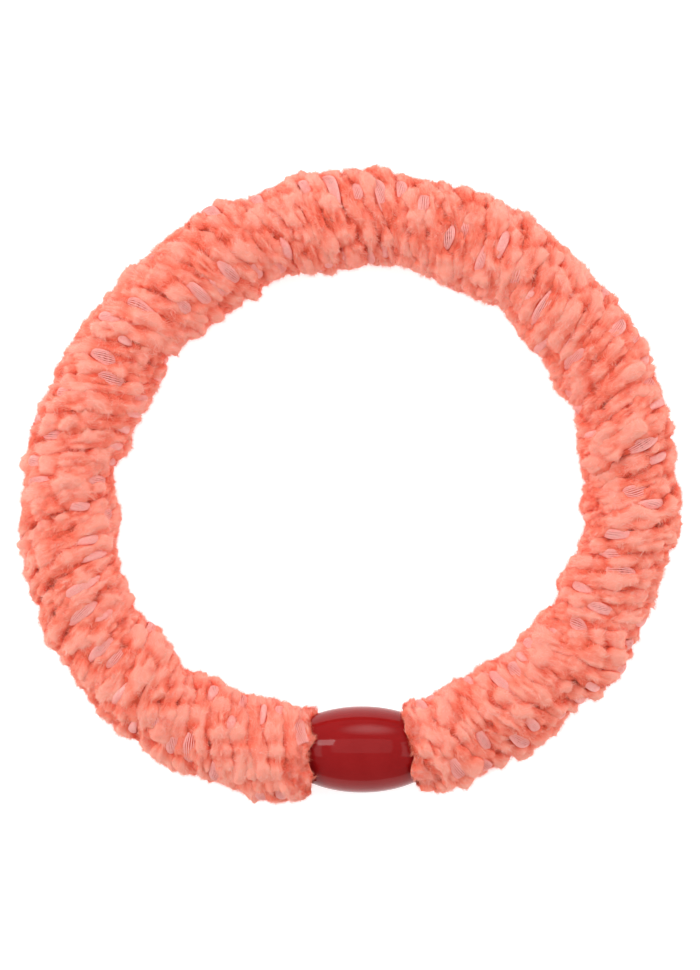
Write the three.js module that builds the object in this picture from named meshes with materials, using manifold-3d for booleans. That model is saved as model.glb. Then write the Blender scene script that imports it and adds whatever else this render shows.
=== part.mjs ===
// Chenille hair tie: an elastic cord wound with fluffy yarns, bent into a ring whose two
// ends are glued into a barrel bead. Millimetres, +Z up. The ring lies flat on z = 0 with
// the bead on its -Y side, and the origin is under the middle of the ring.
import Module from "manifold-3d";
import * as THREE from "three";
import { mergeVertices } from "three/addons/utils/BufferGeometryUtils.js";

const wasm = await Module();
wasm.setup();

const DEGREE = Math.PI / 180;

// Ring: the cord's middle line, as a radius that changes slowly with the turn from -Y
const RING_RADIUS = 23.2;
const RING_CENTRE_Y = -0.5;
const OVAL = 0.8;
const OVAL_TURN = -65 * DEGREE;
const FLATTENING = 0.35;

// Bead, with its axis along X
const BEAD_X = 1.0;
const BEAD_Y = -22.3;
const BEAD_LENGTH = 9.4;
const BEAD_DIAMETER = 7.3;
const BEAD_MOUTH_DIAMETER = 5.6;
const BEAD_BORE = 4.3;
const BEAD_SEGMENTS = 32;

// Yarns wound side by side round the cord: a thin smooth one lies in the valley after
// each fluffy one, and the ground flattens whatever reaches down to it
const CORD_DIAMETER = 7.7;
const YARN_PAIRS = 5;
const TURNS = 16;
const CHENILLE_RADIUS = 0.58;
const FILAMENT_RADIUS = 0.18;
const FILAMENT_DEPTH = 0.07;
const YARNS_TO_BEAD = 0.6;
const FLATTENED = 0.2;

// Core of the cord
const JACKET_DIAMETER = 3.4;
const JACKET_BORE = 2.8;
const THREAD_DIAMETER = 0.7;
const THREAD_SPACING = 0.85;
const OUTER_THREADS = 6;

// Glue round each end of the core, in the bead's bore
const GLUE_DIAMETER = 4.1;
const GLUE_BORE = 3.7;
const GLUE_LENGTH = 3.9;
const GLUE_FLOOR = 0.9;
const GLUE_SPLIT = 0.1;
const GLUE_TO_CORE = 0.2;

// The core runs straight through the bead, and joins the ring over this length
const BEND_LENGTH = 6;

// Steps along each sweep. The core's pieces share theirs, so that they bend together
const CORE_STEPS = 36;
const STEPS_PER_TURN = 10;

const CORD_RADIUS = CORD_DIAMETER / 2;
const CORD_Z = CORD_RADIUS - FLATTENED;
const BEAD_END = BEAD_LENGTH / 2;
const CORE_END = GLUE_SPLIT + GLUE_FLOOR + GLUE_TO_CORE;

const LOOKS = {
  bead: { color: 0x9c1c1f, roughness: 0.18, metalness: 0 },
  glue: { color: 0xd9c9a8, roughness: 0.3, metalness: 0 },
  chenille: { color: 0xff7a5c, roughness: 0.95, metalness: 0 },
  filament: { color: 0xef8386, roughness: 0.5, metalness: 0 },
  jacket: { color: 0xd8685e, roughness: 0.7, metalness: 0 },
  thread: { color: 0xd8cdbb, roughness: 0.7, metalness: 0 },
};

// The ring's middle line, once round from the bead's middle. Where it passes through the
// bead, the core's line is straight, and the yarns' line keeps to the ring.
class RingLine extends THREE.Curve {
  constructor(straightInBead) {
    super();
    this.arcLengthDivisions = 1600;
    this.straightInBead = straightInBead;
    this.beadTurn = Math.asin(BEAD_X / RING_RADIUS);
  }

  getPoint(share, target = new THREE.Vector3()) {
    const turn = this.beadTurn + share * 2 * Math.PI;
    const oval = OVAL * Math.cos(2 * (turn - OVAL_TURN));
    const radius = RING_RADIUS + oval - FLATTENING * Math.cos(3 * turn);
    target.set(radius * Math.sin(turn), RING_CENTRE_Y - radius * Math.cos(turn), CORD_Z);
    if (this.straightInBead && target.y < 0) {
      const past = (Math.abs(target.x - BEAD_X) - BEAD_END) / BEND_LENGTH;
      const onRing = THREE.MathUtils.smoothstep(past, 0, 1);
      target.y = THREE.MathUtils.lerp(BEAD_Y, target.y, onRing);
    }
    return target;
  }
}

// A line beside the ring's, from a distance past the bead's middle round to the same
// distance before it. It lies at a radius from the ring's line, at an angle that starts at
// phase, where 0 is outwards and a quarter turn is up, and falls by whole turns on the way.
class Beside extends THREE.Curve {
  constructor(line, distance, radius, phase, turns = 0) {
    super();
    Object.assign(this, { line, radius, phase, turns });
    this.start = distance / line.getLength();
  }

  // Steps along this line are equal turns, so that neighbouring yarns bend together
  getUtoTmapping(share) {
    return share;
  }

  getPoint(share, target = new THREE.Vector3()) {
    const along = this.start + share * (1 - 2 * this.start);
    const angle = this.phase - share * this.turns * 2 * Math.PI;
    const outwards = this.radius * Math.cos(angle);
    const tangent = this.line.getTangentAt(along);
    this.line.getPointAt(along, target);
    target.x += tangent.y * outwards;
    target.y -= tangent.x * outwards;
    target.z += this.radius * Math.sin(angle);
    return target;
  }
}

function polygon(radius, sides, Outline = THREE.Shape) {
  const points = Array.from({ length: sides }, (_, side) => {
    const angle = ((side + 0.5) / sides) * 2 * Math.PI;
    return new THREE.Vector2(radius * Math.cos(angle), radius * Math.sin(angle));
  });
  return new Outline(points);
}

function swept(shape, curve, steps) {
  return new THREE.ExtrudeGeometry(shape, { steps, extrudePath: curve, curveSegments: 1 });
}

function solid(geometry) {
  const bare = geometry.clone();
  bare.deleteAttribute("normal");
  bare.deleteAttribute("uv");
  const merged = mergeVertices(bare, 1e-4);
  const vertProperties = new Float32Array(merged.attributes.position.array);
  const triVerts = new Uint32Array(merged.index.array);
  return new wasm.Manifold(new wasm.Mesh({ numProp: 3, vertProperties, triVerts }));
}

// Cuts away what reaches below the ground
function flattened(geometry) {
  const reach = 4 * RING_RADIUS;
  const ground = new THREE.BoxGeometry(reach, reach, reach);
  ground.translate(0, 0, -reach / 2);
  const mesh = solid(geometry).subtract(solid(ground)).getMesh();
  const result = new THREE.BufferGeometry();
  result.setAttribute("position", new THREE.BufferAttribute(mesh.vertProperties, 3));
  result.setIndex(new THREE.BufferAttribute(mesh.triVerts, 1));
  result.computeVertexNormals();
  return result;
}

function named(name, geometry, look) {
  const mesh = new THREE.Mesh(geometry, new THREE.MeshStandardMaterial(LOOKS[look]));
  mesh.name = name;
  return mesh;
}

// A piece turned about the bead's axis: profile points are (radius, distance along +X)
function turned(name, profile, look, side = 1) {
  const points = profile.map(([radius, along]) => new THREE.Vector2(radius, along));
  const mesh = named(name, new THREE.LatheGeometry(points, BEAD_SEGMENTS), look);
  mesh.rotation.z = (-side * Math.PI) / 2;
  mesh.position.set(BEAD_X, BEAD_Y, CORD_Z);
  return mesh;
}

// Points on an arc in a profile, from one angle to another, both ends included
function arc(radius, along, size, from, to, steps) {
  return Array.from({ length: steps + 1 }, (_, step) => {
    const angle = THREE.MathUtils.lerp(from, to, step / steps);
    return [radius + size * Math.cos(angle), along + size * Math.sin(angle)];
  });
}

// Barrel: an ellipse's arc outside, round lips, and a straight bore
function bead() {
  const outerSteps = 12;
  const lipSteps = 4;
  const bore = BEAD_BORE / 2;
  const mouth = BEAD_MOUTH_DIAMETER / 2;
  const belly = BEAD_DIAMETER / 2;
  const lip = (mouth - bore) / 2;
  const barrelEnd = BEAD_END - lip;
  const ellipse = barrelEnd / Math.sqrt(1 - (mouth / belly) ** 2);
  const barrel = Array.from({ length: outerSteps - 1 }, (_, step) => {
    const along = THREE.MathUtils.lerp(-barrelEnd, barrelEnd, (step + 1) / outerSteps);
    return [belly * Math.sqrt(1 - (along / ellipse) ** 2), along];
  });
  const lowerLip = arc(bore + lip, -barrelEnd, lip, -Math.PI, 0, lipSteps);
  const upperLip = arc(bore + lip, barrelEnd, lip, 0, Math.PI, lipSteps);
  return turned("bead", [...lowerLip, ...barrel, ...upperLip, lowerLip[0]], "bead");
}

// A cup of glue, with its floor at the bead's middle and the core's end inside
function glue(name, side) {
  const outside = GLUE_DIAMETER / 2;
  const inside = GLUE_BORE / 2;
  const floor = GLUE_SPLIT + GLUE_FLOOR;
  const rim = GLUE_SPLIT + GLUE_LENGTH;
  const profile = [
    [0, GLUE_SPLIT],
    [outside, GLUE_SPLIT],
    [outside, rim],
    [inside, rim],
    [inside, floor],
    [0, floor],
  ];
  return turned(name, profile, "glue", side);
}

function jacket(line) {
  const shape = polygon(JACKET_DIAMETER / 2, 9);
  shape.holes.push(polygon(JACKET_BORE / 2, 7, THREE.Path));
  const curve = new Beside(line, CORE_END, 0, 0);
  return named("core_jacket", swept(shape, curve, CORE_STEPS), "jacket");
}

// One thread in the middle and six round it
function threads(line) {
  const places = [[0, 0]];
  for (let number = 0; number < OUTER_THREADS; number += 1) {
    places.push([THREAD_SPACING, (number / OUTER_THREADS) * 2 * Math.PI]);
  }
  return places.map(([radius, phase], number) => {
    const curve = new Beside(line, CORE_END, radius, phase);
    const geometry = swept(polygon(THREAD_DIAMETER / 2, 5), curve, CORE_STEPS);
    return named(`elastic_thread_${number + 1}`, geometry, "thread");
  });
}

// One yarn wound round the cord, at a depth below the cord's outside
function yarn(name, line, radius, depth, sides, phase, look) {
  const distance = BEAD_END + YARNS_TO_BEAD;
  const winding = new Beside(line, distance, CORD_RADIUS - depth - radius, phase, TURNS);
  const geometry = swept(polygon(radius, sides), winding, TURNS * STEPS_PER_TURN);
  return named(name, flattened(geometry), look);
}

function yarns(line) {
  const pitch = (2 * Math.PI) / YARN_PAIRS;
  const made = [];
  for (let pair = 0; pair < YARN_PAIRS; pair += 1) {
    const top = Math.PI / 2 + pair * pitch;
    const valley = top + pitch / 2;
    const number = pair + 1;
    made.push(
      yarn(`chenille_yarn_${number}`, line, CHENILLE_RADIUS, 0, 6, top, "chenille"),
      yarn(`filament_yarn_${number}`, line, FILAMENT_RADIUS, FILAMENT_DEPTH, 4, valley, "filament"),
    );
  }
  return made;
}

const coreLine = new RingLine(true);
const hairTie = new THREE.Group();
hairTie.add(bead(), glue("adhesive_left", -1), glue("adhesive_right", 1));
hairTie.add(jacket(coreLine), ...threads(coreLine), ...yarns(new RingLine(false)));

export default hairTie;
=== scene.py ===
"""A chenille hair tie: a ring of cord wound with fluffy yarns, joined by a glossy barrel bead.

The winding is worked out on the cord's own line, in millimetres, from the same dimensions as
the CAD model. Every yarn is then a mesh in metres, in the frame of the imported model.
"""

import itertools
import math

import bpy
import numpy as np
from mathutils import Matrix, Vector


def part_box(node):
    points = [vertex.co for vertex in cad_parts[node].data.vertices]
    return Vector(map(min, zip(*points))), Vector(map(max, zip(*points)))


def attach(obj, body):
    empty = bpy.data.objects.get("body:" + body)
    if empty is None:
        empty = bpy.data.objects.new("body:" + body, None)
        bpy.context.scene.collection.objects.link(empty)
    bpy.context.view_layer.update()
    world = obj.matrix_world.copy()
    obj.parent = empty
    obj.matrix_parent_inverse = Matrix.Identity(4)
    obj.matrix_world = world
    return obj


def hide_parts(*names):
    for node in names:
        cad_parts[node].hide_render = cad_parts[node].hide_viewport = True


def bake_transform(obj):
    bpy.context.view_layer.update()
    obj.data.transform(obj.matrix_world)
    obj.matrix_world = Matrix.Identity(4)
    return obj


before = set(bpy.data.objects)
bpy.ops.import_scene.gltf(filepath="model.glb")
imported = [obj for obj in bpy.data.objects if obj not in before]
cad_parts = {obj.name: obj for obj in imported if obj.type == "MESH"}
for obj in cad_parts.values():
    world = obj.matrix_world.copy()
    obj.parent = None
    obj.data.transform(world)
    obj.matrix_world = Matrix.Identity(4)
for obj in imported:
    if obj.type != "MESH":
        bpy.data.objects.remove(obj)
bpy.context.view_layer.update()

# ---- Dimensions, in millimetres ------------------------------------------------------------

MM = 0.001
UP = np.array([0.0, 0.0, 1.0])

bead_low, bead_high = (np.array(corner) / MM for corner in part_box("bead"))
bead_middle = (bead_low + bead_high) / 2
BEAD_END = (bead_high - bead_low)[0] / 2
BEAD_RADIUS = (bead_high - bead_low)[2] / 2
BEAD_MOUTH_RADIUS = 2.8
BEAD_BORE_RADIUS = 2.15
BEAD_SEGMENTS = 144
CORD_Z = bead_middle[2]

# The ring's line, as in the CAD model
RING_RADIUS = 23.2
RING_CENTRE_Y = -0.5
OVAL = 0.8
OVAL_TURN = math.radians(-65)
FLATTENING = 0.35
RING_STEPS = 4000

# The winding: pairs of yarns, from YARNS_FROM past the bead's middle. The cord swells by about
# BULGE, a yarn strays round it by about DRIFT radians, and the yarns run on past each end by
# PAST_END of their length
PAIRS = 5
TURNS = 16
YARNS_FROM = BEAD_END + 0.6
STRAND_RADIUS = 2.95
BULGE = 0.21
DRIFT = 0.07
PAST_END = 0.003
PITCH = 2 * math.pi / PAIRS

# Chenille pile: a lumpy ridge of cut fibres along each yarn. Its lobes swell it by about LUMP
# of its reach and are STREAK times longer than wide, and it thins over the last TAPER_LENGTH
RIDGE_HEIGHT = 0.98
RIDGE_HALF_WIDTH = 1.15
PILE_TOP = STRAND_RADIUS + RIDGE_HEIGHT
LUMP = 0.30
STREAK = 2.0
TAPER_LENGTH = 1.5
SURFACE_STEP = 0.15
SURFACE_SIDES = 40
SURFACE_CLEARANCE = 0.05

# How far the lobes swell the pile, large, small and fine, and how much painted light they put on the
# lobes and painted shade in their creases
LOBE_SWELLS = (0.66, 0.40, 0.22)
LOBE_PAINTED_SHADING = (0.04, 0.07, 0.06)
SLOW_TINT = 0.20

# The pile's lightness at the crease level, and the painted light it gains per millimetre above that:
# painted shade, darker the deeper the pile lies
PILE_LIGHTNESS = 0.55
CREASE_PAINTED_SHADE = 1.05
CREASE_LEVEL = PILE_TOP - 0.2

# Loose fibres: single fine triangles in two coats, which stand up and lean over
FIBRES = 80000
COATS = 2
PILE_SPREAD = math.radians(115)
FIBRE_WIDTH = 0.026
FIBRE_ROOT = 0.05
FIBRE_RISE = 0.28
SHORTEST_FIBRE = 0.2
LONGEST_FIBRE = 1.3
FIBRE_LEAN = 0.28
COMB_FORWARD = 2.4
COMB_OVER = 1.8
STRAY_FORWARD = 0.35
STRAY_OVER = 0.3
FIBRE_CLEARANCE = 0.02

# A fibre's tint, as a place in PILE_TINTS: at no lightness, and what adds to it. Through the
# lightness, fibres carry the pile's painted light on the lobes and painted shade in the creases
FIRST_TINT = 1.8
LIGHTNESS_TINT = 3.0
TUFT_TINT = 2.0
FIBRE_TINT = 0.9

# Filament yarn: it weaves through the pile, and shows as a lens where it is outermost. There
# the pile is pressed in by DENT, within about DENT_REACH of the lens's middle
LENS_SPACING = 7.5
LENS_SHARPNESS = 1.6
LENS_HEIGHT = PILE_TOP - 0.2
LENS_HALF_WIDTH = 0.42
LENS_HALF_HEIGHT = 0.2
LENS_ASIDE = 0.3
DENT = 0.2
DENT_REACH = 0.45
HIDDEN_HEIGHT = LENS_HEIGHT - 1.15
HIDDEN_HALF_WIDTH = 0.07
SHOWN_FROM = 0.5
FILAMENTS = 18
FILAMENT_SIZE = 0.044
FILAMENT_HALF_WIDTH = FILAMENT_SIZE * 1.3
FILAMENT_STEPS = 1300
WEAVE_STEPS = 3000
WEAVE_WANDER = 0.5
WIDTH_WANDER = 0.2
WIDTH_WANDER_LENGTH = 9

# Pile round the cord's ends, from a little way over the bead: round at its ragged edge, and
# thinner again where it runs out under the yarns
COLLAR_FROM = -0.5
COLLAR_TO = 2.0
COLLAR_RADIUS = 3.66
COLLAR_MOUTH = 3.05
COLLAR_RAGGED = 0.7
RAGGED_FROM = -0.2
COLLAR_ROUNDING = 0.6
COLLAR_TAPER_FROM = 0.8
COLLAR_TAPER = 0.7
COLLAR_LUMP = 0.20
COLLAR_ROWS = 18
COLLAR_SIDES = 140
COLLAR_FIBRES = 30000

# The core: a braided jacket round rubber threads
JACKET_RADIUS = 1.7
JACKET_BORE_RADIUS = 1.4
THREAD_RADIUS = 0.35
THREAD_SPACING = 0.85
OUTER_THREADS = 6
CORE_FROM = 1.2
CORE_STEPS = 600
BEND_LENGTH = 6.0


# ---- The ring's line -----------------------------------------------------------------------

class Ring:
    """The cord's middle line, sampled once round from the bead's middle."""

    def __init__(self):
        turn = math.asin(bead_middle[0] / RING_RADIUS) + np.linspace(0, 2 * math.pi, RING_STEPS + 1)
        oval = OVAL * np.cos(2 * (turn - OVAL_TURN))
        radius = RING_RADIUS + oval - FLATTENING * np.cos(3 * turn)
        self.x = radius * np.sin(turn)
        self.y = RING_CENTRE_Y - radius * np.cos(turn)
        steps = np.hypot(np.diff(self.x), np.diff(self.y))
        self.along = np.concatenate([[0], np.cumsum(steps)])
        self.length = self.along[-1]
        heading_x = np.gradient(self.x, self.along)
        heading_y = np.gradient(self.y, self.along)
        size = np.hypot(heading_x, heading_y)
        self.heading_x = heading_x / size
        self.heading_y = heading_y / size

    def at(self, along):
        """Points on the line, its direction there, and the direction outwards."""
        x, y, heading_x, heading_y = (
            np.interp(along, self.along, values)
            for values in (self.x, self.y, self.heading_x, self.heading_y)
        )
        flat = np.zeros_like(x)
        point = np.stack([x, y, flat + CORD_Z], axis=-1)
        heading = np.stack([heading_x, heading_y, flat], axis=-1)
        outwards = np.stack([heading_y, -heading_x, flat], axis=-1)
        return point, heading, outwards


ring = Ring()
WOUND_LENGTH = ring.length - 2 * YARNS_FROM
TURN_LENGTH = math.hypot(WOUND_LENGTH / TURNS, 2 * math.pi * STRAND_RADIUS)
STRAND_LENGTH = TURNS * TURN_LENGTH


def unit(vectors):
    return vectors / np.linalg.norm(vectors, axis=-1, keepdims=True)


def smooth_step(value):
    value = np.clip(value, 0, 1)
    return value * value * (3 - 2 * value)


class SlowWaves:
    """Random waves 4 to 14 mm long that run along and round the cord, and reach about 1."""

    def __init__(self, rng, terms=14):
        self.along = 2 * math.pi / rng.uniform(4, 14, terms)
        self.round = rng.integers(-2, 3, terms)
        self.phase = rng.uniform(0, 2 * math.pi, terms)
        self.size = math.sqrt(2 / terms)

    def at(self, along, angle):
        value = np.zeros_like(along)
        for rate, turns, phase in zip(self.along, self.round, self.phase):
            value += np.sin(rate * along + turns * angle + phase)
        return value * self.size


bulges = SlowWaves(np.random.default_rng(7))
drift = SlowWaves(np.random.default_rng(8))


def winding(share, phase):
    """Where a yarn is at a share of its length, with its direction, the direction away from
    the cord's middle, and the direction across the yarn."""
    along = YARNS_FROM + share * WOUND_LENGTH
    angle = phase - share * TURNS * 2 * math.pi
    angle = angle + DRIFT * drift.at(along, angle)
    point, heading, outwards = ring.at(along)
    cosine = np.cos(angle)[..., None]
    sine = np.sin(angle)[..., None]
    away = outwards * cosine + UP * sine
    around = UP * cosine - outwards * sine
    height = (STRAND_RADIUS + BULGE * bulges.at(along, angle))[..., None]
    forward = unit(heading * WOUND_LENGTH - around * (TURNS * 2 * math.pi) * height)
    across = np.cross(forward, away)
    return point + away * height, forward, away, across


class Fluff:
    """Random values that vary smoothly through space, over about one size in millimetres."""

    LATTICE = 64
    CREASE_SOFTNESS = 0.004
    MEAN_SIZE = 0.28

    def __init__(self, seed, size):
        self.size = size
        self.values = np.random.default_rng(seed).uniform(-1, 1, (self.LATTICE,) * 3)

    def at(self, points):
        place = np.moveaxis(points, -1, 0) / self.size
        low = np.floor(place).astype(int)
        part = smooth_step(place - low)
        shares = (1 - part, part)
        spots = (low % self.LATTICE, (low + 1) % self.LATTICE)
        total = np.zeros(points.shape[:-1])
        for a, b, c in itertools.product((0, 1), repeat=3):
            share = shares[a][0] * shares[b][1] * shares[c][2]
            total += share * self.values[spots[a][0], spots[b][1], spots[c][2]]
        return total

    def lobes(self, points):
        """Rounded lobes with narrow creases between them: about 0 on average, -1 in a crease."""
        return np.sqrt(self.at(points) ** 2 + self.CREASE_SOFTNESS) / self.MEAN_SIZE - 1


large_lobes = Fluff(1, 1.6)
small_lobes = Fluff(2, 0.6)
fine_lobes = Fluff(3, 0.26)
slow_tint = Fluff(4, 1.3)
comb_forward = Fluff(5, 0.45)
comb_over = Fluff(6, 0.45)
tuft_tint = Fluff(7, 0.2)


# ---- Meshes --------------------------------------------------------------------------------

def mesh_object(name, vertices, faces, materials, slots=None):
    """A smooth-shaded mesh object from vertices in millimetres and an array of faces."""
    mesh = bpy.data.meshes.new(name)
    corners = faces.shape[1]
    mesh.vertices.add(len(vertices))
    mesh.vertices.foreach_set("co", (vertices * MM).astype(np.float32).ravel())
    mesh.loops.add(faces.size)
    mesh.loops.foreach_set("vertex_index", faces.astype(np.int32).ravel())
    mesh.polygons.add(len(faces))
    mesh.polygons.foreach_set("loop_start", np.arange(0, faces.size, corners, dtype=np.int32))
    for material in materials:
        mesh.materials.append(material)
    if slots is not None:
        mesh.polygons.foreach_set("material_index", slots.astype(np.int32))
    mesh.update(calc_edges=True)
    mesh.polygons.foreach_set("use_smooth", np.ones(len(faces), dtype=bool))
    made = bpy.data.objects.new(name, mesh)
    bpy.context.scene.collection.objects.link(made)
    return made


def grid_faces(rows, sides):
    """Faces of four corners for rows of vertices that each close into a loop."""
    row = np.arange(rows - 1)[:, None] * sides
    here = np.arange(sides)[None, :]
    following = (here + 1) % sides
    corners = [row + here, row + following, row + sides + following, row + sides + here]
    return np.stack(corners, axis=-1).reshape(-1, 4)


def tube(points, side, up, half_width, half_height, sides):
    """An open-ended tube along points: its vertices, and its faces."""
    count = len(points)
    angle = np.arange(sides) * (2 * math.pi / sides)
    width = np.broadcast_to(half_width, count)[:, None, None]
    height = np.broadcast_to(half_height, count)[:, None, None]
    outline = (
        side[:, None, :] * width * np.cos(angle)[None, :, None]
        + up[:, None, :] * height * np.sin(angle)[None, :, None]
    )
    vertices = (points[:, None, :] + outline).reshape(-1, 3)
    return vertices, grid_faces(count, sides)


def joined(pieces):
    """One array of vertices and one of faces from several pairs of them."""
    vertices, faces, start = [], [], 0
    for piece_vertices, piece_faces in pieces:
        vertices.append(piece_vertices)
        faces.append(piece_faces + start)
        start += len(piece_vertices)
    return np.concatenate(vertices), np.concatenate(faces)


def wave(share, rng, cycles, terms=6):
    """A smooth random curve over a strand, between about -1 and 1."""
    value = np.zeros_like(share)
    for _ in range(terms):
        value += np.sin(2 * math.pi * (cycles * rng.uniform(0.5, 1.5) * share + rng.uniform()))
    return value * math.sqrt(2 / terms)


# ---- Materials -----------------------------------------------------------------------------

SHEEN_COLOUR = (1.0, 0.6, 0.5, 1)


def plain(name, colour, roughness, sheen=0.0, specular=0.5):
    """One colour all over."""
    material = bpy.data.materials.new(name)
    material.use_nodes = True
    shader = material.node_tree.nodes["Principled BSDF"]
    shader.inputs["Base Color"].default_value = (*colour, 1)
    shader.inputs["Roughness"].default_value = roughness
    shader.inputs["Specular IOR Level"].default_value = specular
    shader.inputs["Sheen Weight"].default_value = sheen
    shader.inputs["Sheen Tint"].default_value = SHEEN_COLOUR
    return material


def colour_ramp(tree, stops):
    """A ramp through stops of a position and a colour."""
    ramp = tree.nodes.new("ShaderNodeValToRGB")
    elements = ramp.color_ramp.elements
    for element, (position, colour) in zip(elements, (stops[0], stops[-1])):
        element.position = position
        element.color = (*colour, 1)
    for position, colour in stops[1:-1]:
        elements.new(position).color = (*colour, 1)
    return ramp


def mottled(name, dark, light, scale, roughness, specular=0.5):
    """Two colours mixed by a fine noise in the object's own space."""
    material = plain(name, light, roughness, specular=specular)
    tree = material.node_tree
    shader = tree.nodes["Principled BSDF"]
    place = tree.nodes.new("ShaderNodeTexCoord")
    noise = tree.nodes.new("ShaderNodeTexNoise")
    noise.inputs["Scale"].default_value = scale
    noise.inputs["Detail"].default_value = 4
    ramp = colour_ramp(tree, ((0.35, dark), (0.65, light)))
    tree.links.new(place.outputs["Object"], noise.inputs["Vector"])
    tree.links.new(noise.outputs["Fac"], ramp.inputs["Fac"])
    tree.links.new(ramp.outputs["Color"], shader.inputs["Base Color"])
    return material


PILE_ROUGHNESS = 0.9
PILE_SHEEN = 0.1
PILE_SPECULAR = 0.1
# Tints of loose fibre from dark to light: the darker ones serve partly as painted shade in the
# creases
PILE_TINTS = [
    (0.86, 0.16, 0.09),
    (0.90, 0.22, 0.135),
    (0.92, 0.285, 0.19),
    (0.93, 0.36, 0.265),
    (0.94, 0.43, 0.335),
    (0.95, 0.50, 0.41),
]
# The pile surface's colours by lightness: the dark end is painted shade in the creases, the light end
# painted light on the lobes
SURFACE_COLOURS = (
    (0.0, (0.52, 0.075, 0.04)),
    (0.3, (0.82, 0.14, 0.08)),
    (0.6, (0.90, 0.24, 0.16)),
    (1.0, (0.93, 0.36, 0.275)),
)


def fibre_material(name, colour):
    """One tint of loose fibre, whose soft shine comes and goes from tuft to tuft."""
    material = plain(name, colour, PILE_ROUGHNESS, PILE_SHEEN, PILE_SPECULAR)
    tree = material.node_tree
    place = tree.nodes.new("ShaderNodeTexCoord")
    noise = tree.nodes.new("ShaderNodeTexNoise")
    noise.inputs["Scale"].default_value = 1500
    shine = tree.nodes.new("ShaderNodeMapRange")
    shine.inputs["From Min"].default_value = 0.3
    shine.inputs["From Max"].default_value = 0.7
    shine.inputs["To Max"].default_value = 0.3
    tree.links.new(place.outputs["Object"], noise.inputs["Vector"])
    tree.links.new(noise.outputs["Fac"], shine.inputs["Value"])
    tree.links.new(shine.outputs["Result"], tree.nodes["Principled BSDF"].inputs["Sheen Weight"])
    return material


pile_materials = [fibre_material(f"pile_{n}", tint) for n, tint in enumerate(PILE_TINTS)]


def pile_surface_material():
    """Deep orange painted shade in the creases and light pink painted light on the lobes, with fine
    streaks of fibre.
    """
    material = plain("pile_surface", PILE_TINTS[3], PILE_ROUGHNESS, PILE_SHEEN, PILE_SPECULAR)
    tree = material.node_tree
    shader = tree.nodes["Principled BSDF"]
    shader.inputs["Subsurface Weight"].default_value = 0.6
    shader.inputs["Subsurface Radius"].default_value = (1.0, 0.4, 0.3)
    shader.inputs["Subsurface Scale"].default_value = 0.3 * MM
    lightness = tree.nodes.new("ShaderNodeAttribute")
    lightness.attribute_name = "lightness"
    combed = tree.nodes.new("ShaderNodeAttribute")
    combed.attribute_name = "combed"
    noise = tree.nodes.new("ShaderNodeTexNoise")
    noise.inputs["Scale"].default_value = 5.5
    noise.inputs["Detail"].default_value = 3
    streaks = tree.nodes.new("ShaderNodeMath")
    streaks.operation = "MULTIPLY_ADD"
    streaks.inputs[1].default_value = 0.6
    streaks.inputs[2].default_value = -0.3
    total = tree.nodes.new("ShaderNodeMath")
    total.operation = "ADD"
    ramp = colour_ramp(tree, SURFACE_COLOURS)
    relief = tree.nodes.new("ShaderNodeBump")
    relief.inputs["Strength"].default_value = 0.8
    relief.inputs["Distance"].default_value = 0.05 * MM
    tree.links.new(combed.outputs["Vector"], noise.inputs["Vector"])
    tree.links.new(noise.outputs["Fac"], streaks.inputs[0])
    tree.links.new(lightness.outputs["Fac"], total.inputs[0])
    tree.links.new(streaks.outputs["Value"], total.inputs[1])
    tree.links.new(total.outputs["Value"], ramp.inputs["Fac"])
    tree.links.new(ramp.outputs["Color"], shader.inputs["Base Color"])
    tree.links.new(noise.outputs["Fac"], relief.inputs["Height"])
    tree.links.new(relief.outputs["Normal"], shader.inputs["Normal"])
    return material


pile_surface = pile_surface_material()
filament_pink = mottled(
    "filament_pink", (0.98, 0.40, 0.36), (0.99, 0.51, 0.46), scale=6000, roughness=0.5, specular=0.25
)
bead_red = mottled(
    "bead_red", (0.280, 0.006, 0.007), (0.300, 0.008, 0.009), scale=700, roughness=0.07, specular=0.18
)
glue_clear = mottled("glue", (0.6, 0.5, 0.33), (0.75, 0.65, 0.47), scale=900, roughness=0.25)
rubber = mottled("rubber", (0.6, 0.53, 0.4), (0.74, 0.67, 0.54), scale=5000, roughness=0.7)
jacket_weave = mottled("jacket_weave", (0.7, 0.16, 0.16), (0.9, 0.3, 0.28), scale=3000, roughness=0.6)


# ---- Yarns ---------------------------------------------------------------------------------

# The valley between two chenille yarns is half a pitch round the cord from each: this far
# across them, and nearest to a point that is this share of a yarn's length further on
HALF_PITCH = STRAND_RADIUS * PITCH / 2
VALLEY = HALF_PITCH * (WOUND_LENGTH / TURNS) / TURN_LENGTH
SIDE_SHIFT = HALF_PITCH * 2 * math.pi * STRAND_RADIUS / (TURNS * TURN_LENGTH**2)


class Pair:
    """A chenille yarn and the filament yarn in the valley after it, woven together."""

    def __init__(self, number):
        self.number = number
        self.rng = np.random.default_rng(100 + number)
        self.top = math.pi / 2 + (number - 1) * PITCH
        self.share = np.linspace(0, 1, WEAVE_STEPS)
        lenses = STRAND_LENGTH / LENS_SPACING
        wander = WEAVE_WANDER * wave(self.share, self.rng, lenses / 3)
        self.weave = 2 * math.pi * (lenses * self.share + self.rng.uniform()) + wander

    def out(self, share):
        """How far out the filament yarn is, from 0 where it is hidden to 1 where it shows."""
        return (0.5 + 0.5 * np.cos(np.interp(share, self.share, self.weave))) ** LENS_SHARPNESS

    def aside(self, share):
        """How far to the side the filament yarn is, from -1 to 1."""
        return np.sin(np.interp(share, self.share, self.weave))


pairs = [Pair(number) for number in range(1, PAIRS + 1)]


def filament_height(out):
    """The filament yarn's distance from the cord's middle."""
    return HIDDEN_HEIGHT + (LENS_HEIGHT - HIDDEN_HEIGHT) * out


def shown(out):
    """How far a filament yarn has come out of the pile, from 0 to 1."""
    return np.clip((out - SHOWN_FROM) / (1 - SHOWN_FROM), 0, 1)


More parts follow.
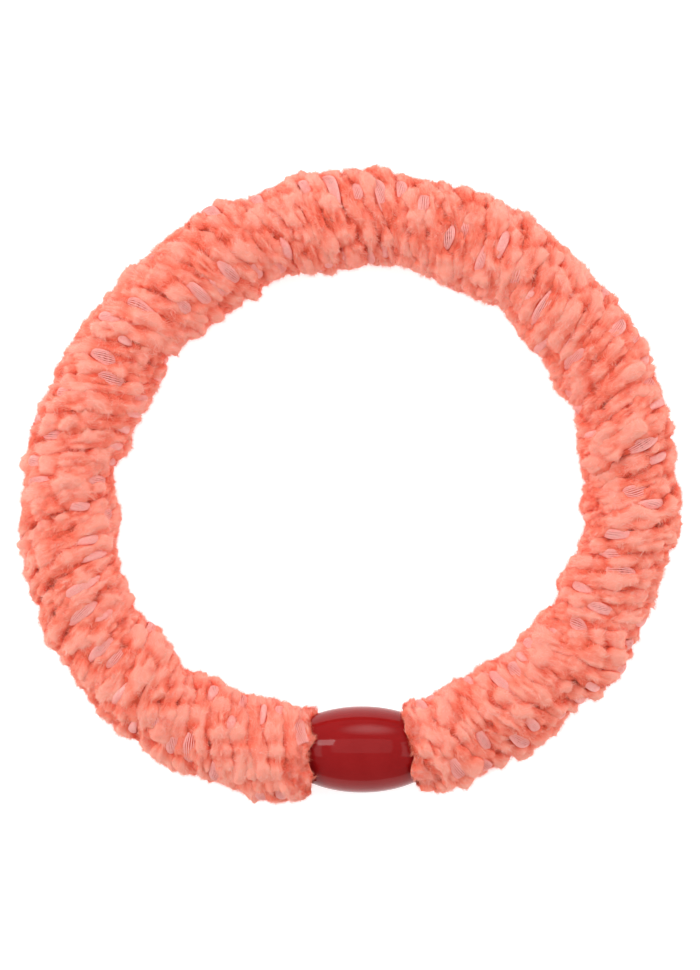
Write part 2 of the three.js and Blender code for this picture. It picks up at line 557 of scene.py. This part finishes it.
def filament_half_width(out):
    """Half the filament yarn's width: a lens where it shows, and a thin line where it is hidden."""
    return HIDDEN_HALF_WIDTH + (LENS_HALF_WIDTH - HIDDEN_HALF_WIDTH) * shown(out) ** 0.8


def combed_place(along_yarn, across_yarn, number):
    """Coordinates in which the pile's texture is even: it is drawn out along the yarn."""
    apart = 20.0 * number + np.zeros_like(along_yarn)
    return np.stack([along_yarn / STREAK, across_yarn, apart], axis=-1)


def lumpy(spot, combed):
    """How far the pile's lobes swell out at a spot, and how light the pile is there: painted light on
    the lobes, painted shade in their creases, and a slow random tone.
    """
    lobes = (large_lobes.lobes(spot), small_lobes.lobes(combed), fine_lobes.lobes(combed))
    swelling = sum(share * lobe for share, lobe in zip(LOBE_SWELLS, lobes))
    lightness = sum(share * lobe for share, lobe in zip(LOBE_PAINTED_SHADING, lobes))
    return swelling, lightness + SLOW_TINT * slow_tint.at(spot)


def pile_at(pair, share, angle):
    """The pile's surface at an angle round a yarn: its place, the directions out of it and along the
    yarn, its lightness with painted shade deeper down and painted light higher up, and its place in
    the combed texture."""
    centre, forward, away, across = winding(share, pair.top)
    cosine = np.cos(angle)[..., None]
    sine = np.sin(angle)[..., None]
    direction = away * cosine + across * sine
    reach = 1 / np.sqrt((cosine / RIDGE_HEIGHT) ** 2 + (sine / RIDGE_HALF_WIDTH) ** 2)
    combed = combed_place(share * STRAND_LENGTH, angle * RIDGE_HEIGHT, pair.number)
    swelling, lightness = lumpy(centre + direction * reach, combed)
    reach = reach[..., 0] * (1 + LUMP * swelling)
    from_end = np.minimum(share + PAST_END, 1 + PAST_END - share) * STRAND_LENGTH
    reach = reach * (0.5 + 0.5 * smooth_step(from_end / TAPER_LENGTH))

    # The pile gives way to the filament yarns on both sides, where these are outermost
    before = pairs[pair.number - 2]
    for other, side in ((pair, 1), (before, -1)):
        out = other.out(share + side * SIDE_SHIFT)
        lens = -side * VALLEY + LENS_ASIDE * other.aside(share + side * SIDE_SHIFT)
        near = np.exp(-(((sine[..., 0] * reach - lens) / DENT_REACH) ** 2))
        reach = reach - DENT * shown(out) * near * (cosine[..., 0] > 0)
    height = STRAND_RADIUS + cosine[..., 0] * reach
    # Painted shade: the pile is coloured darker the deeper it lies, down in the creases, and lighter
    # towards its top
    lightness = lightness + PILE_LIGHTNESS + CREASE_PAINTED_SHADE * (height - CREASE_LEVEL)
    return centre + direction * reach[..., None], direction, forward, lightness, combed


def above_floor(points, clearance):
    """Press whatever would reach below the floor flat against it."""
    points[..., 2] = np.maximum(points[..., 2], clearance)
    return points


def surface_object(name, spots, lightness, combed):
    """A pile's surface, with its lightness, which holds painted light and shade, and its combed
    places as attributes for the material.
    """
    spots = above_floor(spots, SURFACE_CLEARANCE)
    rows, sides = spots.shape[:2]
    made = mesh_object(name, spots.reshape(-1, 3), grid_faces(rows, sides), [pile_surface])
    attribute = made.data.attributes.new("lightness", "FLOAT", "POINT")
    attribute.data.foreach_set("value", lightness.astype(np.float32).ravel())
    attribute = made.data.attributes.new("combed", "FLOAT_VECTOR", "POINT")
    attribute.data.foreach_set("vector", combed.astype(np.float32).ravel())
    return made


def pile(pair):
    """The surface of a chenille yarn's pile."""
    rows = int(STRAND_LENGTH / SURFACE_STEP)
    share = np.linspace(-PAST_END, 1 + PAST_END, rows)[:, None] + np.zeros(SURFACE_SIDES)
    angle = np.linspace(-math.pi, math.pi, SURFACE_SIDES, endpoint=False) + np.zeros_like(share)
    spots, _, _, lightness, combed = pile_at(pair, share, angle)
    return surface_object(f"chenille_yarn_{pair.number}_pile", spots, lightness, combed)


def fuzz_object(name, rng, spots, direction, forward, lightness):
    """Short fine fibres that stand on the pile's surface, combed this way and that."""
    count = len(spots)
    over = np.cross(direction, forward)
    ahead = COMB_FORWARD * comb_forward.at(spots) + rng.normal(0, STRAY_FORWARD, count)
    aside = COMB_OVER * comb_over.at(spots) + rng.normal(0, STRAY_OVER, count)
    lean = forward * ahead[:, None] + over * aside[:, None]
    rise = rng.uniform(SHORTEST_FIBRE, LONGEST_FIBRE, count)[:, None] * FIBRE_RISE
    root = spots - direction * FIBRE_ROOT
    tip = spots + direction * rise + lean * FIBRE_LEAN
    side = unit(np.cross(tip - root, direction)) * (FIBRE_WIDTH / 2)
    vertices = np.stack([root - side, root + side, tip], axis=1).reshape(-1, 3)
    vertices = above_floor(vertices, FIBRE_CLEARANCE)
    faces = np.arange(3 * count).reshape(-1, 3)
    # Painted shade: fibres in creases take darker tints and fibres on lobes lighter ones, besides
    # their random tints
    tints = FIRST_TINT + LIGHTNESS_TINT * lightness + TUFT_TINT * tuft_tint.at(spots)
    tints = tints + rng.normal(0, FIBRE_TINT, count)
    tints = np.clip(np.round(tints), 0, len(PILE_TINTS) - 1)
    made = mesh_object(name, vertices, faces, pile_materials, tints)
    return made


def fuzz(pair, coat):
    """One coat of loose fibres on a chenille yarn, all round but for its underside."""
    rng = np.random.default_rng(1000 * coat + pair.number)
    share = rng.uniform(-PAST_END, 1 + PAST_END, FIBRES)
    angle = rng.uniform(-PILE_SPREAD, PILE_SPREAD, FIBRES)
    name = f"chenille_yarn_{pair.number}_fuzz_{coat}"
    return fuzz_object(name, rng, *pile_at(pair, share, angle)[:4])


def filament_yarn(pair):
    """Fine filaments side by side, spread where the yarn shows and bunched where it is hidden."""
    share = np.linspace(-PAST_END, 1 + PAST_END, FILAMENT_STEPS)
    out = pair.out(share)
    points, _, away, across = winding(share, pair.top + PITCH / 2)
    middle = points + away * (filament_height(out) - STRAND_RADIUS)[:, None]
    middle = middle + across * (LENS_ASIDE * pair.aside(share))[:, None]
    wander = WIDTH_WANDER * wave(share, pair.rng, STRAND_LENGTH / WIDTH_WANDER_LENGTH)
    half = filament_half_width(out) * (1 + wander)
    thick = LENS_HALF_HEIGHT * (0.5 + 0.5 * out)
    pieces = []
    for number in range(FILAMENTS):
        turn = 2 * math.pi * (number / FILAMENTS + 0.5 * share * STRAND_LENGTH / LENS_SPACING)
        line = middle + across * (half * np.cos(turn))[:, None]
        line = line + away * (thick * np.sin(turn))[:, None]
        line[:, 2] = np.maximum(line[:, 2], FILAMENT_SIZE)
        pieces.append(tube(line, across, away, FILAMENT_HALF_WIDTH, FILAMENT_SIZE, 4))
    vertices, faces = joined(pieces)
    made = mesh_object(f"filament_yarn_{pair.number}_strands", vertices, faces, [filament_pink])
    return made


def collar_at(past, angle, from_bead):
    """The surface of the pile packed against the bead, like pile_at. from_bead is 1 at the
    cord's start and -1 at its end."""
    along = BEAD_END + past
    if from_bead < 0:
        along = ring.length - along
    point, heading, outwards = ring.at(along)
    away = outwards * np.cos(angle)[..., None] + UP * np.sin(angle)[..., None]
    ragged = COLLAR_RAGGED * large_lobes.at(point + COLLAR_RADIUS * away)
    ragged = from_bead * ragged * (1 - smooth_step(past - RAGGED_FROM))
    point = point + heading * ragged[..., None]
    rounding = np.sqrt(np.clip((past - COLLAR_FROM) / COLLAR_ROUNDING, 0, 1))
    radius = COLLAR_MOUTH + (COLLAR_RADIUS - COLLAR_MOUTH) * rounding
    taper = smooth_step((past - COLLAR_TAPER_FROM) / (COLLAR_TO - COLLAR_TAPER_FROM))
    radius = radius - COLLAR_TAPER * taper
    around = UP * np.cos(angle)[..., None] - outwards * np.sin(angle)[..., None]
    combed = combed_place(angle * COLLAR_RADIUS, past, 10 + from_bead)
    swelling, lightness = lumpy(point + away * radius[..., None], combed)
    radius = radius + COLLAR_LUMP * swelling
    # Painted shade: the collar's pile is coloured darker where it lies lower, and lighter where its
    # lobes swell out
    lightness = lightness + PILE_LIGHTNESS + CREASE_PAINTED_SHADE * (radius - COLLAR_RADIUS)
    return point + away * radius[..., None], away, around, lightness, combed


def collar(name, from_bead):
    """The surface of the pile packed against the bead."""
    past = np.linspace(COLLAR_FROM, COLLAR_TO, COLLAR_ROWS)[:, None] + np.zeros(COLLAR_SIDES)
    angle = np.arange(COLLAR_SIDES) * (2 * math.pi / COLLAR_SIDES) + np.zeros_like(past)
    spots, _, _, lightness, combed = collar_at(past, angle, from_bead)
    return surface_object(name, spots, lightness, combed)


def collar_fuzz(name, from_bead):
    """Loose fibres on the pile packed against the bead."""
    rng = np.random.default_rng(50 + from_bead)
    past = rng.uniform(COLLAR_FROM, COLLAR_TO, COLLAR_FIBRES)
    angle = rng.uniform(0, 2 * math.pi, COLLAR_FIBRES)
    return fuzz_object(name, rng, *collar_at(past, angle, from_bead)[:4])


# ---- Core and bead -------------------------------------------------------------------------

def core_line():
    """The core's middle: the ring's line, but straight and centred inside the bead."""
    along = np.linspace(CORE_FROM, ring.length - CORE_FROM, CORE_STEPS)
    point, _, _ = ring.at(along)
    bent = smooth_step((np.abs(point[:, 0] - bead_middle[0]) - BEAD_END) / BEND_LENGTH)
    near = point[:, 1] < 0
    point[near, 1] = (bead_middle[1] + (point[:, 1] - bead_middle[1]) * bent)[near]
    heading = unit(np.gradient(point, axis=0))
    return point, np.cross(heading, UP)


def jacket():
    """The woven jacket's wall, outside and inside, closed at both ends."""
    point, outwards = core_line()
    up = np.broadcast_to(UP, outwards.shape)
    there = np.arange(len(point))
    loop = np.concatenate([there, there[::-1], there[:1]])
    outside = np.full(len(point), JACKET_RADIUS)
    inside = np.full(len(point), JACKET_BORE_RADIUS)
    radius = np.concatenate([outside, inside, outside[:1]])
    vertices, faces = tube(point[loop], outwards[loop], up[loop], radius, radius, 28)
    made = mesh_object("core_jacket_weave", vertices, faces, [jacket_weave])
    return made


def thread(number):
    """A rubber thread: the first runs in the middle, and the others round it."""
    point, outwards = core_line()
    up = np.broadcast_to(UP, outwards.shape)
    spacing = 0 if number == 1 else THREAD_SPACING
    angle = (number - 2) * 2 * math.pi / OUTER_THREADS
    point = point + outwards * (spacing * math.cos(angle)) + up * (spacing * math.sin(angle))
    vertices, faces = tube(point, outwards, up, THREAD_RADIUS, THREAD_RADIUS, 12)
    made = mesh_object(f"elastic_thread_{number}_rubber", vertices, faces, [rubber])
    return made


def bead():
    """The barrel, turned about its own axis: an ellipse's arc, round lips and a straight bore."""
    lip = (BEAD_MOUTH_RADIUS - BEAD_BORE_RADIUS) / 2
    barrel_end = BEAD_END - lip
    ellipse = barrel_end / math.sqrt(1 - (BEAD_MOUTH_RADIUS / BEAD_RADIUS) ** 2)
    along = np.linspace(-barrel_end, barrel_end, 49)
    barrel = np.stack([BEAD_RADIUS * np.sqrt(1 - (along / ellipse) ** 2), along], axis=1)
    half_turn = np.linspace(0, math.pi, 13)[1:]
    lips = [
        np.stack([BEAD_BORE_RADIUS + lip + lip * np.cos(turn), end + lip * np.sin(turn)], axis=1)
        for turn, end in ((half_turn, barrel_end), (half_turn + math.pi, -barrel_end))
    ]
    profile = np.concatenate([barrel, lips[0], lips[1][:-1]])
    angle = np.arange(BEAD_SEGMENTS) * (2 * math.pi / BEAD_SEGMENTS)
    radius, place = profile[:, 0, None], profile[:, 1, None]
    vertices = np.stack(
        [
            bead_middle[0] + place + 0 * angle,
            bead_middle[1] + radius * np.cos(angle),
            bead_middle[2] + radius * np.sin(angle),
        ],
        axis=-1,
    ).reshape(-1, 3)
    row = np.arange(len(profile))[:, None]
    following = (row + 1) % len(profile)
    here = np.arange(BEAD_SEGMENTS)[None, :]
    beside = (here + 1) % BEAD_SEGMENTS
    corners = [row * BEAD_SEGMENTS + here, row * BEAD_SEGMENTS + beside]
    corners += [following * BEAD_SEGMENTS + beside, following * BEAD_SEGMENTS + here]
    faces = np.stack(corners, axis=-1).reshape(-1, 4)
    made = mesh_object("barrel_bead", vertices, faces, [bead_red])
    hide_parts("bead")
    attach(made, "bead")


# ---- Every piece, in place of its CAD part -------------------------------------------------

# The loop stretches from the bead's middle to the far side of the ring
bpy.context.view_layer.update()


def stretches(piece, node):
    """The piece stands for a node of the cord: the node is hidden, and the piece's transform is baked
    into its mesh.
    """
    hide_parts(node)
    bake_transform(piece)


bead()
for pair in pairs:
    stretches(pile(pair), f"chenille_yarn_{pair.number}")
    for coat in range(1, COATS + 1):
        stretches(fuzz(pair, coat), f"chenille_yarn_{pair.number}")
    stretches(filament_yarn(pair), f"filament_yarn_{pair.number}")
for from_bead, end in ((1, "right"), (-1, "left")):
    stretches(collar(f"collar_{end}", from_bead), "chenille_yarn_1")
    stretches(collar_fuzz(f"collar_{end}_fuzz", from_bead), "chenille_yarn_1")
stretches(jacket(), "core_jacket")
for number in range(1, OUTER_THREADS + 2):
    stretches(thread(number), f"elastic_thread_{number}")

for node in ("adhesive_left", "adhesive_right"):
    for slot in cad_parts[node].material_slots:
        slot.material = glue_clear


# ---- Stage ---------------------------------------------------------------------------------

def soften(light):
    """Make a light fade from its middle to its edges."""
    light.use_nodes = True
    tree = light.node_tree
    place = tree.nodes.new("ShaderNodeNewGeometry")
    middle = tree.nodes.new("ShaderNodeVectorMath")
    middle.operation = "DISTANCE"
    middle.inputs[1].default_value = (0.5, 0.5, 0)
    fade = tree.nodes.new("ShaderNodeMapRange")
    fade.interpolation_type = "SMOOTHSTEP"
    fade.inputs["From Min"].default_value = 0.5
    fade.inputs["From Max"].default_value = 0.05
    tree.links.new(place.outputs["Parametric"], middle.inputs[0])
    tree.links.new(middle.outputs["Value"], fade.inputs["Value"])
    tree.links.new(fade.outputs["Result"], tree.nodes["Emission"].inputs["Strength"])


def area_light(name, place, size_x, size_y, radiance, soft=False):
    """A rectangular light that faces the origin, as bright as radiance white surfaces."""
    data = bpy.data.lights.new(name, "AREA")
    data.shape = "RECTANGLE"
    data.size = size_x
    data.size_y = size_y
    data.energy = radiance * math.pi * size_x * size_y
    if soft:
        soften(data)
    made = bpy.data.objects.new(name, data)
    made.location = place
    back = Vector(place).normalized()
    right = Vector((back.z, 0, -back.x)).normalized()
    turn = Matrix((right, back.cross(right), back)).transposed()
    made.rotation_euler = turn.to_euler()
    bpy.context.scene.collection.objects.link(made)


def stage():
    """A white table, even light all round, and the studio's lights."""
    half_size = 1.0
    corners = np.array([[-1, -1, 0], [1, -1, 0], [1, 1, 0], [-1, 1, 0]]) * half_size / MM
    paper = plain("paper", (0.65, 0.65, 0.65), 0.8)
    shader = paper.node_tree.nodes["Principled BSDF"]
    shader.inputs["Emission Color"].default_value = (1, 1, 1, 1)
    shader.inputs["Emission Strength"].default_value = 0.7
    mesh_object("floor", corners, np.array([[0, 1, 2, 3]]), [paper])
    world = bpy.data.worlds.new("studio")
    world.use_nodes = True
    background = world.node_tree.nodes["Background"]
    background.inputs["Color"].default_value = (1, 1, 1, 1)
    background.inputs["Strength"].default_value = 0.5
    bpy.context.scene.world = world
    area_light("left_softbox", (-0.62, 0, 0.35), size_x=0.7, size_y=0.55, radiance=1.35)
    area_light("right_softbox", (0.62, 0, 0.35), size_x=0.7, size_y=0.55, radiance=1.35)
    area_light("overhead_softbox", (0, 0.15, 0.85), size_x=0.8, size_y=0.6, radiance=0.75)
    area_light("far_softbox", (0.06, 0.55, 0.36), size_x=0.62, size_y=0.5, radiance=3.7, soft=True)
    area_light("window", (-0.33, 0.21, 0.52), size_x=0.20, size_y=0.18, radiance=7.0)
    bpy.context.scene.view_settings.view_transform = "Standard"
    bpy.context.scene.cycles.diffuse_bounces = 10


def camera():
    """Straight above the ring's middle, with the bead towards the bottom of the picture."""
    distance = 0.70
    picture_height = 0.0818
    sensor = 36
    data = bpy.data.cameras.new("camera")
    data.sensor_fit = "VERTICAL"
    data.sensor_height = sensor
    data.lens = sensor * distance / picture_height
    data.clip_start = 0.05
    made = bpy.data.objects.new("camera", data)
    made.location = (0, 0, CORD_Z * MM + distance)
    bpy.context.scene.collection.objects.link(made)
    bpy.context.scene.camera = made


stage()
camera()
